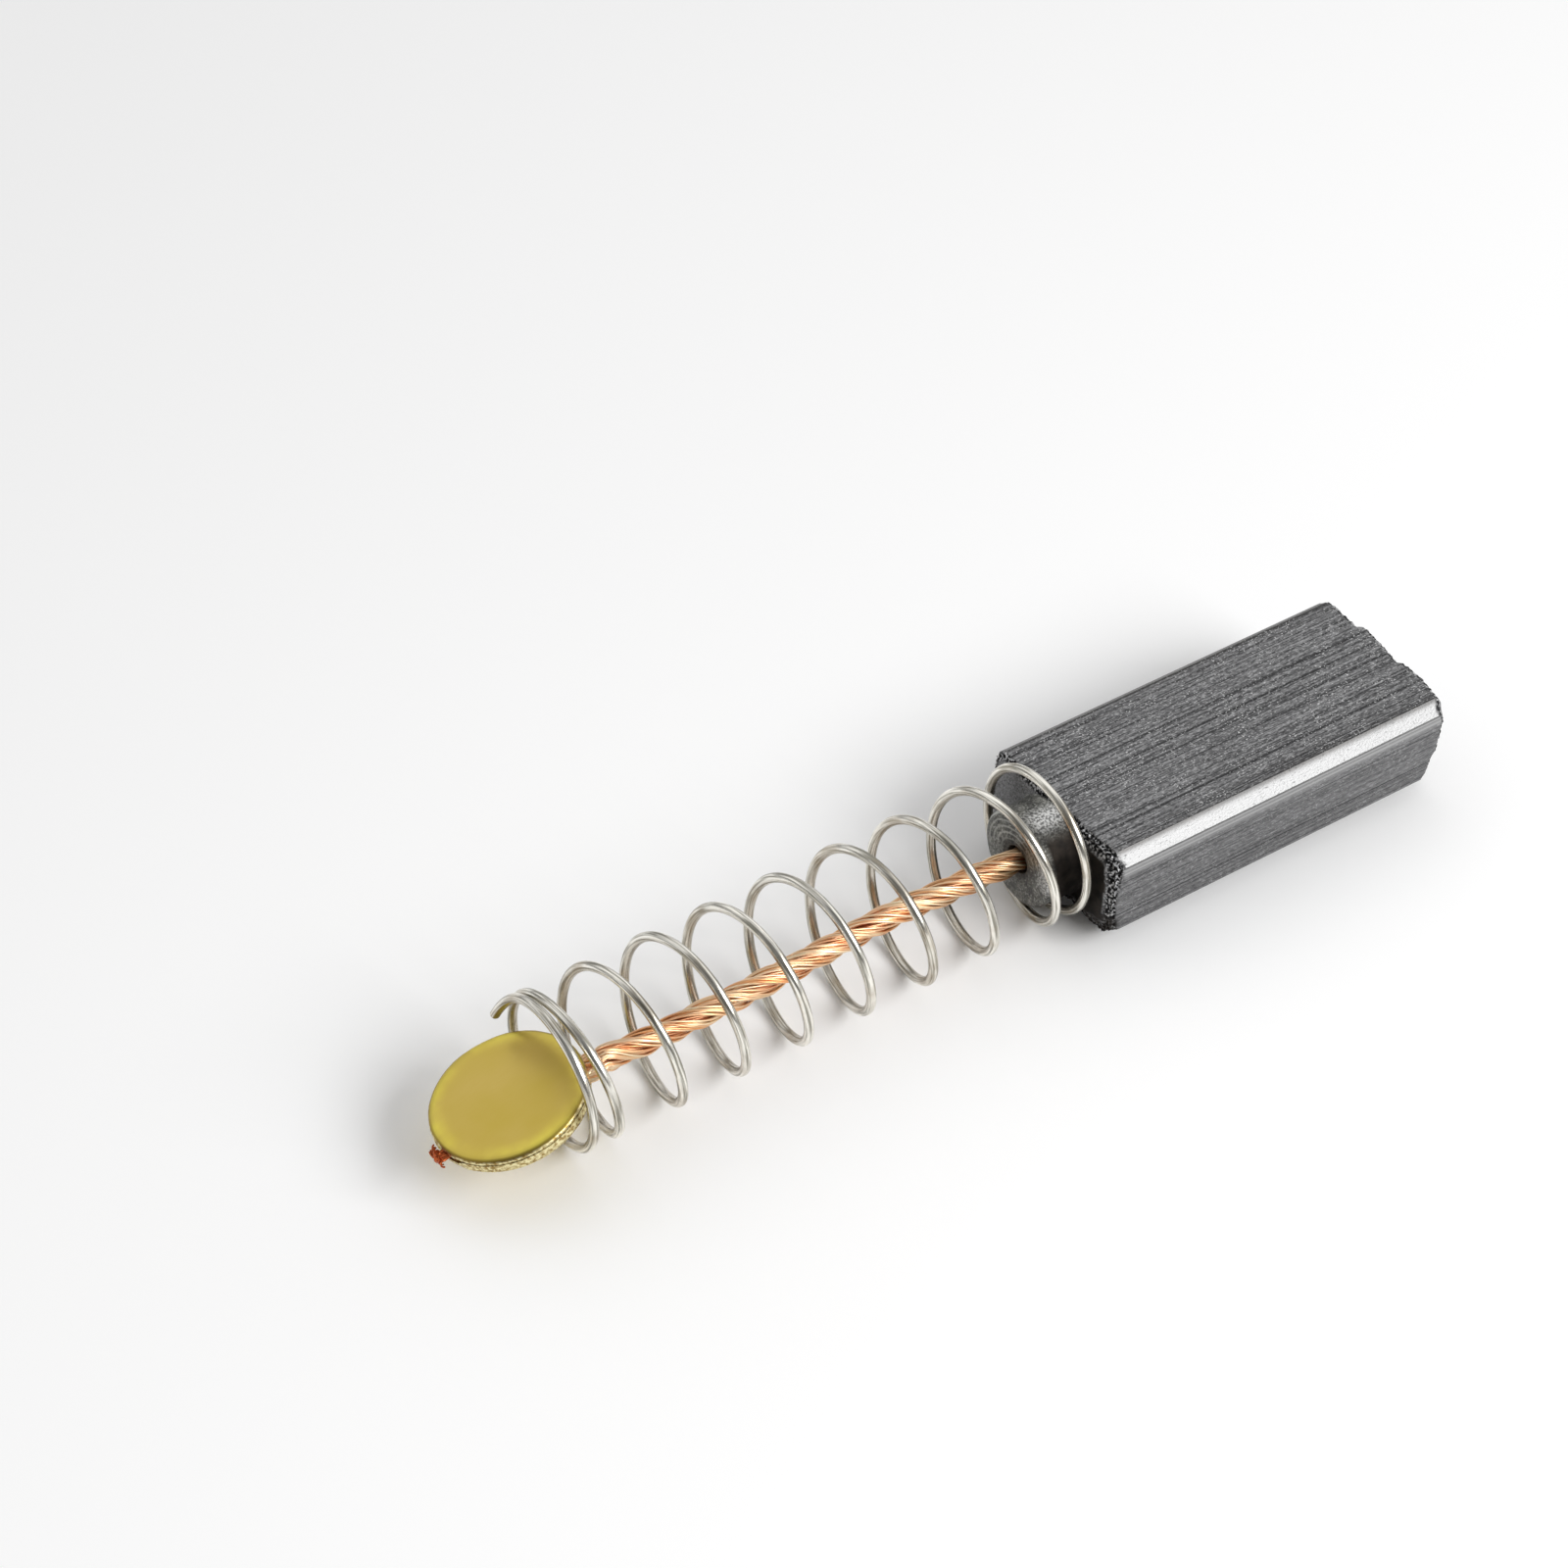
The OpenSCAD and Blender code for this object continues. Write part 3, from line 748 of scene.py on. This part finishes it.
torn_layer = cap.verts.layers.float.new("torn")
cap_rim_highlight_layer = cap.verts.layers.float.new("cap_rim_highlight")
rim_shade_layer = cap.verts.layers.float.new("rim_shade_line")
for v in cap.verts:
    r = hypot(v.co.x, v.co.y)
    rim = smooth_step(r, CAP_R - 0.3, CAP_R - 0.12)
    if -half_gap - 0.01 < v.co.z < half_gap - 0.01 and v.co.y < CREASE_Y and rim > 0:
        v.co.z = v.co.z + (-half_gap - v.co.z) * rope_way(v.co.x, v.co.y)
    v[torn_layer] = 1 if r > CAP_R - 0.1 and -top + 0.08 < v.co.z < top - 0.15 else 0
    # A band near the rim is marked for a painted highlight, and a thin line along the rolled upper edge for
    # painted shade.
    v[cap_rim_highlight_layer] = smooth_step(r, 0.72 * CAP_R, CAP_R - 0.15)
    v[rim_shade_layer] = smooth_step(r, CAP_R - 0.2, CAP_R - 0.07) if v.co.z > top - 0.2 else 0
    if v[torn_layer]:
        out = 1 + RIM_WAVE * noise.noise(Vector((v.co.x * 2.2, v.co.y * 2.2, v.co.z * 3)))
        v.co.x *= out
        v.co.y *= out
    v.co.z += SHEET_WAVE * noise.noise(Vector((v.co.x * 0.7, v.co.y * 0.7, 4)))
bmesh.ops.transform(cap, matrix=Matrix.Translation(cap_centre) @ cap_turn.to_4x4(), verts=cap.verts)
cap_piece = piece_from(cap, "cap_piece", "contact_cap", sharp_deg=50)

# %% [markdown]
# Finishes
#
# Colours are written as the hex values that a paint program shows, and one function turns them into the
# linear numbers that Blender wants. One small function adds a node of any kind, with its settings and its
# links, and gives back one of its outputs. The range, math and mix nodes take their inputs by place, as
# their panels show them; a mix of colours has its factor at 0 and its two colours at 6 and 7.

# %% Colours and nodes
def linear(hex_colour):
    channels = [int(hex_colour[i:i + 2], 16) / 255 for i in (1, 3, 5)]
    return [c / 12.92 if c <= 0.04045 else ((c + 0.055) / 1.055) ** 2.4 for c in channels] + [1]


def add(tree, kind, inputs=(), out=0, **settings):
    node = tree.nodes.new("ShaderNode" + kind)
    for name, value in settings.items():
        setattr(node, name, value)
    for place, value in inputs.items() if isinstance(inputs, dict) else enumerate(inputs):
        if isinstance(value, bpy.types.NodeSocket):
            tree.links.new(value, node.inputs[place])
        else:
            node.inputs[place].default_value = value
    return node.outputs[out] if node.outputs else None


print("middle grey in linear numbers:", round(linear("#808080")[0], 3))

# %% [markdown]
# Each finish starts from the attributes of its points and from a few noise patterns. A pattern is given by
# the size of its features in mm, how far it is stretched along each axis, its detail and its roughness. It
# reads Object coordinates, which are metres here, so its scale is one divided by the real size. Each
# finish ends with its shader, whose constant values are set on the shader itself.

# %% Start and end of a finish
def new_finish(name, attributes=(), patterns=()):
    """A new material, and its attributes and patterns by name."""
    material = bpy.data.materials.new(name)
    material.use_nodes = True
    tree = material.node_tree
    tree.nodes.clear()
    look = {a: add(tree, "Attribute", out="Fac", attribute_name=a) for a in attributes}
    for title, size, stretch, detail, roughness in patterns:
        place = add(tree, "TexCoord", out="Object")
        fitted = add(tree, "Mapping", {"Vector": place, "Scale": [1 / (size * MM * s) for s in stretch]})
        look[title] = add(tree, "TexNoise", {"Vector": fitted, "Scale": 1, "Detail": detail,
                                             "Roughness": roughness}, out="Fac")
    return material, tree, look


def lay_on(piece, material, shader_inputs):
    tree = material.node_tree
    shader = add(tree, "BsdfPrincipled", shader_inputs)
    add(tree, "OutputMaterial", {"Surface": shader})
    piece.data.materials.append(material)
    print("finish", material.name, "with", len(tree.nodes), "nodes")


# %% [markdown]
# Ground carbon graphite
#
# Pressed graphite is a dark grey with a metallic lustre. The grinding wheel leaves long lines and short
# dashes along the block, and tiny light specks are painted glints of single flakes of graphite. Real lines
# are about 0.03 mm wide, and are drawn 0.1 mm wide here so that they show. The colour is built as coats, one
# over the other, each with a cover from 0 to 1. First come the covers of the ground faces. The dashes and
# the painted glints are stronger on the coarsely ground broad faces than on the narrow ones.

# %% Carbon: what the grinding left
carbon_finish, tree, look = new_finish("ground_carbon_graphite", SURFACES, [
    ("lines", 0.1, (120, 1, 1), 3, 0.6), ("single lines", 0.075, (400, 1, 1), 0, 0.5),
    ("dashes", 0.065, (3.2, 1, 1), 1, 0.5), ("grit", 0.07, (1.5, 1, 1), 1, 0.5),
    ("flocks", 0.9, (1, 1, 1), 2, 0.5), ("clouds", 0.5, (1, 1, 1), 2, 0.5),
    ("fine grain", 0.09, (1, 1, 1), 2, 0.5), ("broken grain", 0.12, (1, 1, 1), 1, 0.5)])
line_cover = add(tree, "MapRange", (look["lines"], 0.4, 0.6))
narrow_cover = add(tree, "MapRange", (look["coarse"], 0.25, 1, 0.45, 0))
deep_lines = add(tree, "MapRange", (look["single lines"], 0.66, 0.7, 0, 0.8))
on_coarse = {}
for title, pattern, low, high, on_narrow, on_broad in (("dark dashes", "dashes", 0.45, 0.33, 0.3, 0.6),
                                                       ("light dashes", "dashes", 0.56, 0.7, 0.2, 0.55),
                                                       ("flakes", "grit", 0.62, 0.7, 0.15, 1)):
    shown = add(tree, "MapRange", (look[pattern], low, high))
    strength = add(tree, "MapRange", (look["coarse"], 0, 1, on_narrow, on_broad))
    on_coarse[title] = add(tree, "Math", (shown, strength), operation="MULTIPLY")
flocks = add(tree, "MapRange", (look["flocks"], 0.42, 0.58, 0.3, 1))
# Painted glints of single graphite flakes.
painted_glints = add(tree, "Math", (on_coarse["flakes"], flocks), operation="MULTIPLY")
print("covers of the ground faces:", len(tree.nodes), "nodes")

# %% [markdown]
# The lathe has left rings round the spigot's end face, drawn by a wave pattern that is centred on its
# axis, 0.27 mm apart. They show only on the turned spigot, and are drawn light on its upper side only, as a
# painted highlight. The painted shade covers broken places a little less than sound ones.

# %% Carbon: tool marks and painted shade
TOOL_MARK = 0.27
WAVE_LEN = 0.314
centred = add(tree, "Mapping", {"Vector": add(tree, "TexCoord", out="Object"),
                                "Location": (0, 0, -axis_z * MM)})
rings = add(tree, "TexWave", {"Vector": centred, "Scale": WAVE_LEN / (TOOL_MARK * MM), "Distortion": 1.5,
                              "Detail": 1}, out="Fac", wave_type="RINGS", rings_direction="X")
tool_mark_highlights = add(tree, "Math", (add(tree, "MapRange", (rings, 0.6, 1, 0, 0.5)),
                                add(tree, "MapRange", (look["turned"], 0.85, 1))), operation="MULTIPLY")
painted_shade_cover = add(tree, "Math", (look["painted_shade"], add(tree, "MapRange", (look["broken"], 0, 1, 1, 0.7))),
                 operation="MULTIPLY")
print("with tool marks and soot:", len(tree.nodes), "nodes")

# %% [markdown]
# Each kind of surface has its own list of coats, which starts from its darkest or plainest grey. The
# lists are laid one by one, and then the kinds of surface are laid over each other where their
# attributes say.

# %% Carbon: coats
COATS = {
    "ground": ("#565657", (line_cover, "#8b8b8c"), (narrow_cover, "#727273"),
               (on_coarse["dark dashes"], "#303031"), (on_coarse["light dashes"], "#c0c0c1"),
               (deep_lines, "#303031"), (painted_glints, "#e4e4e4")),
    "turned": ("#52524f", (add(tree, "MapRange", (look["clouds"], 0.36, 0.62)), "#878781"),
               (add(tree, "MapRange", (look["fine grain"], 0.5, 0.38, 0, 0.75)), "#3b3b3a"),
               (add(tree, "MapRange", (look["fine grain"], 0.58, 0.68, 0, 0.7)), "#cfcfc9"),
               (tool_mark_highlights, "#d0d0ca")),
    # Painted highlight: a plain light grey on the block, with a grain on the spigot.
    "painted_highlight": ("#747473", (add(tree, "MapRange", (look["fine grain"], 0.4, 0.56)), "#e0e0de")),
    "burnished": ("#5a5a5a", (add(tree, "MapRange", (look["dashes"], 0.22, 0.34)), "#7f7f7f")),
    "broken": ("#0e0e0f", (add(tree, "MapRange", (look["broken grain"], 0.49, 0.64)), "#cacacb")),
    # Painted shade, dark and dull.
    "painted_shade": ("#1d1b19", (add(tree, "MapRange", (look["clouds"], 0.3, 0.7)), "#38322d")),
}
tones = {}
for kind, (start, *coats) in COATS.items():
    tone = linear(start)
    for cover, colour in coats:
        tone = add(tree, "Mix", {0: cover, 6: tone, 7: linear(colour)}, out=2, data_type="RGBA")
    tones[kind] = tone
# On the block the painted highlight is this plain light grey.
block_highlight_tone = linear("#b4b4b4")
tones["painted_highlight"] = add(tree, "Mix", {0: look["turned"], 6: block_highlight_tone, 7: tones["painted_highlight"]}, out=2,
                      data_type="RGBA")
carbon_tone = tones["ground"]
for kind, cover in (("turned", look["turned"]), ("painted_highlight", look["painted_highlight"]), ("burnished", look["burnished"]),
                    ("broken", look["broken"]), ("painted_shade", painted_shade_cover)):
    carbon_tone = add(tree, "Mix", {0: cover, 6: carbon_tone, 7: tones[kind]}, out=2, data_type="RGBA")
print("kinds of carbon surface:", ", ".join(tones))

# %% [markdown]
# The lines and the grit also stand up a little, by hundredths of a millimetre. Broken places and places with
# painted shade are dull, and the burnished chamfers shine more than the ground faces do.

# %% Carbon: relief and gloss
line_bump = add(tree, "Bump", {"Height": look["lines"], "Strength": 0.35, "Distance": 0.012 * MM})
grit_bump = add(tree, "Bump", {"Height": look["grit"], "Strength": 0.5, "Distance": 0.02 * MM,
                               "Normal": line_bump})
dullness = add(tree, "Math", (look["broken"], look["painted_shade"]), operation="ADD")
shine = add(tree, "Math", (look["burnished"], 0.05), operation="MULTIPLY")
gloss = add(tree, "Math", (add(tree, "MapRange", (dullness, 0, 1, 0.42, 0.6)), shine), operation="SUBTRACT")
lay_on(carbon, carbon_finish, {"Base Color": carbon_tone, "Normal": grit_bump, "Roughness": gloss,
                               "Metallic": 0.85})

# %% [markdown]
# Plated spring wire
#
# Drawn music wire with a thin bright plating is silvery with a warm cast. Drawing leaves long streaks
# along the wire. The inside of each coil is painted a darker brown, a painted reflection of the copper rope
# inside it. The attributes that were stored while the wire was spun give those directions.

# %% Spring finish
wire_finish, tree, look = new_finish("bright_plated_spring_wire", ("along", "outward", "sideways"),
                                     [("stains", 1.6, (1, 1, 1), 3, 0.5)])
slow_along = add(tree, "Math", (look["along"], 0.25), operation="MULTIPLY")
streak_place = add(tree, "CombineXYZ", (slow_along, look["outward"], look["sideways"]))
streaks = add(tree, "TexNoise", {"Vector": streak_place, "Scale": 2.2, "Detail": 3}, out="Fac")
silver = linear("#98958a")
for cover, colour in ((add(tree, "MapRange", (streaks, 0.38, 0.58)), "#fffcf3"),
                      # Painted reflection of the copper rope on the inside of each coil.
                      (add(tree, "MapRange", (look["outward"], -1, 0.4, 0.45, 0)), "#8b7c68"),
                      (add(tree, "MapRange", (look["stains"], 0.5, 0.68, 0, 0.5)), "#98866a")):
    silver = add(tree, "Mix", {0: cover, 6: silver, 7: linear(colour)}, out=2, data_type="RGBA")
streak_bump = add(tree, "Bump", {"Height": streaks, "Strength": 0.15, "Distance": 0.01 * MM})
wire_gloss = add(tree, "MapRange", (streaks, 0.3, 0.7, 0.3, 0.18))
lay_on(spring_piece, wire_finish, {"Base Color": silver, "Normal": streak_bump, "Roughness": wire_gloss,
                                   "Metallic": 1})

# %% [markdown]
# Bare copper strand
#
# Fresh annealed copper is a bright salmon orange, and its fine wires throw pale highlights. Between the
# strands it is painted red-brown, as painted shade, and so is the tuft. Each wire has its own tone, and a
# slow pattern along the rope adds the handling marks.

# %% Copper finish
copper_finish, tree, look = new_finish("bare_copper_strand", ("tone", "depth"),
                                       [("handling", 0.5, (3, 1, 1), 2, 0.5)])
copper_tone = linear("#f4b983")
for cover, colour in ((add(tree, "MapRange", (look["tone"], 0.25, 0.75)), "#fff2d2"),
                      (add(tree, "MapRange", (look["handling"], 0.45, 0.7, 0, 0.45)), "#ec9a66"),
                      # Painted shade: red-brown deep between the strands, and the same tone on the tuft.
                      (add(tree, "MapRange", (look["depth"], 0.26, 0.75)), "#bb6138")):
    copper_tone = add(tree, "Mix", {0: cover, 6: copper_tone, 7: linear(colour)}, out=2, data_type="RGBA")
lay_on(pigtail_piece, copper_finish, {"Base Color": copper_tone, "Metallic": 1, "Roughness": 0.34})

# %% [markdown]
# Stamped brass sheet
#
# Rolled brass is an even olive yellow with a satin surface. The rolling leaves the faintest lines. A band
# near the rim is painted brighter as a painted highlight, and a thin dark line along the rolled edge is
# painted shade. The torn wall of the blanked edge is a bright, grainy gold with dark pits.

# %% Brass finish
brass_finish, tree, look = new_finish("stamped_satin_brass", ("torn", "cap_rim_highlight", "rim_shade_line"), [
    ("rolling", 0.12, (40, 1, 1), 2, 0.5), ("patches", 2.4, (1, 1, 1), 2, 0.5),
    ("wear", 1.1, (1, 1, 1), 2, 0.5), ("torn grain", 0.14, (1, 1, 0.8), 2, 0.5)])
# Painted highlight near the rim, broken up by a noise.
cap_rim_highlight_cover = add(tree, "Math", (look["cap_rim_highlight"], add(tree, "MapRange", (look["wear"], 0.35, 0.65, 0.2, 0.75))),
                 operation="MULTIPLY")
brass_tone = linear("#cdb456")
for cover, colour in ((add(tree, "MapRange", (look["patches"], 0.35, 0.7)), "#d3b964"),
                      (add(tree, "MapRange", (look["rolling"], 0.4, 0.7, 0, 0.12)), "#ccac51"),
                      (cap_rim_highlight_cover, "#f3e462"),
                      # Painted shade: a thin dark line along the rolled edge.
                      (add(tree, "Math", (look["rim_shade_line"], 0.8), operation="MULTIPLY"), "#7d5f2a")):
    brass_tone = add(tree, "Mix", {0: cover, 6: brass_tone, 7: linear(colour)}, out=2, data_type="RGBA")
torn_cover = add(tree, "MapRange", (look["torn grain"], 0.36, 0.62))
torn_tone = add(tree, "Mix", {0: torn_cover, 6: linear("#a0844a"), 7: linear("#f6ecba")}, out=2,
                data_type="RGBA")
brass_tone = add(tree, "Mix", {0: look["torn"], 6: brass_tone, 7: torn_tone}, out=2, data_type="RGBA")
torn_height = add(tree, "Math", (look["torn"], look["torn grain"]), operation="MULTIPLY")
torn_bump = add(tree, "Bump", {"Height": torn_height, "Strength": 0.6, "Distance": 0.03 * MM})
brass_gloss = add(tree, "MapRange", (look["torn"], 0, 1, 0.41, 0.42))
lay_on(cap_piece, brass_finish, {"Base Color": brass_tone, "Normal": torn_bump, "Roughness": brass_gloss,
                                 "Metallic": 1})

# %% [markdown]
# Studio
#
# The photograph is a small product on white. A pale matt floor, a pale sky and one large soft light from
# the front right give that.

# %% Floor
FLOOR_HALF = 1.5
floor_bm = bmesh.new()
bmesh.ops.create_grid(floor_bm, x_segments=1, y_segments=1, size=FLOOR_HALF)
floor_mesh = bpy.data.meshes.new("floor")
floor_bm.to_mesh(floor_mesh)
floor_bm.free()
floor = bpy.data.objects.new("floor", floor_mesh)
bpy.context.collection.objects.link(floor)
lay_on(floor, new_finish("pale_matt_floor")[0], {"Base Color": linear("#fdfdfd"), "Roughness": 0.9,
                                                 "Specular IOR Level": 0.1})

# %% [markdown]
# The sky is dimmer near the horizon, as the walls of a room are, and on the side from which the picture
# was taken. Round bright wire needs those darker parts to look round. Behind the floor's edge the sky is
# seen as plain white.

# %% Sky
SKY_LIGHT = 0.9
DIM_SHARE = 0.2
PHOTO_SIDE = (-0.405, -0.588, 0.70)
world = bpy.data.worlds.new("studio")
bpy.context.scene.world = world
world.use_nodes = True
tree = world.node_tree
sky = tree.nodes["Background"]
sky.inputs["Color"].default_value = linear("#ffffff")
way = add(tree, "TexCoord", out="Generated")
height = add(tree, "MapRange", (add(tree, "SeparateXYZ", [way], out="Z"), 0.05, 0.45, 0.3, 1))
towards = add(tree, "VectorMath", (way, PHOTO_SIDE), out="Value", operation="DOT_PRODUCT")
photo_side = add(tree, "MapRange", (towards, 0.4, 0.88, SKY_LIGHT, DIM_SHARE * SKY_LIGHT))
room = add(tree, "Math", (height, photo_side), operation="MULTIPLY")
seen = add(tree, "LightPath", out="Is Camera Ray")
tree.links.new(add(tree, "MapRange", (seen, 0, 1, room, 1)), sky.inputs["Strength"])
print("sky of", len(tree.nodes), "nodes")

# %% [markdown]
# The light's place follows from the bright front chamfer: it stands where the chamfer mirrors it into the
# camera. Its sizes are in mm. The colours are shown as they are, without a film look.

# %% Light
KEY_FROM = Vector((0.405, -0.70, 0.589)).normalized()
KEY_DISTANCE, KEY_WIDTH, KEY_HEIGHT = 320, 240, 150
KEY_WATTS = 0.85
key_data = bpy.data.lights.new("key", "AREA")
key_data.shape = "RECTANGLE"
key_data.size, key_data.size_y = KEY_WIDTH * MM, KEY_HEIGHT * MM
key_data.energy = KEY_WATTS
key = bpy.data.objects.new("key", key_data)
bpy.context.collection.objects.link(key)
key.location = KEY_FROM * KEY_DISTANCE * MM
key.rotation_euler = KEY_FROM.to_track_quat("Z", "Y").to_euler()
bpy.context.scene.view_settings.view_transform = "Standard"
bpy.context.scene.view_settings.look = "None"
print("light", key.name, "at", [round(c / MM) for c in key.location])
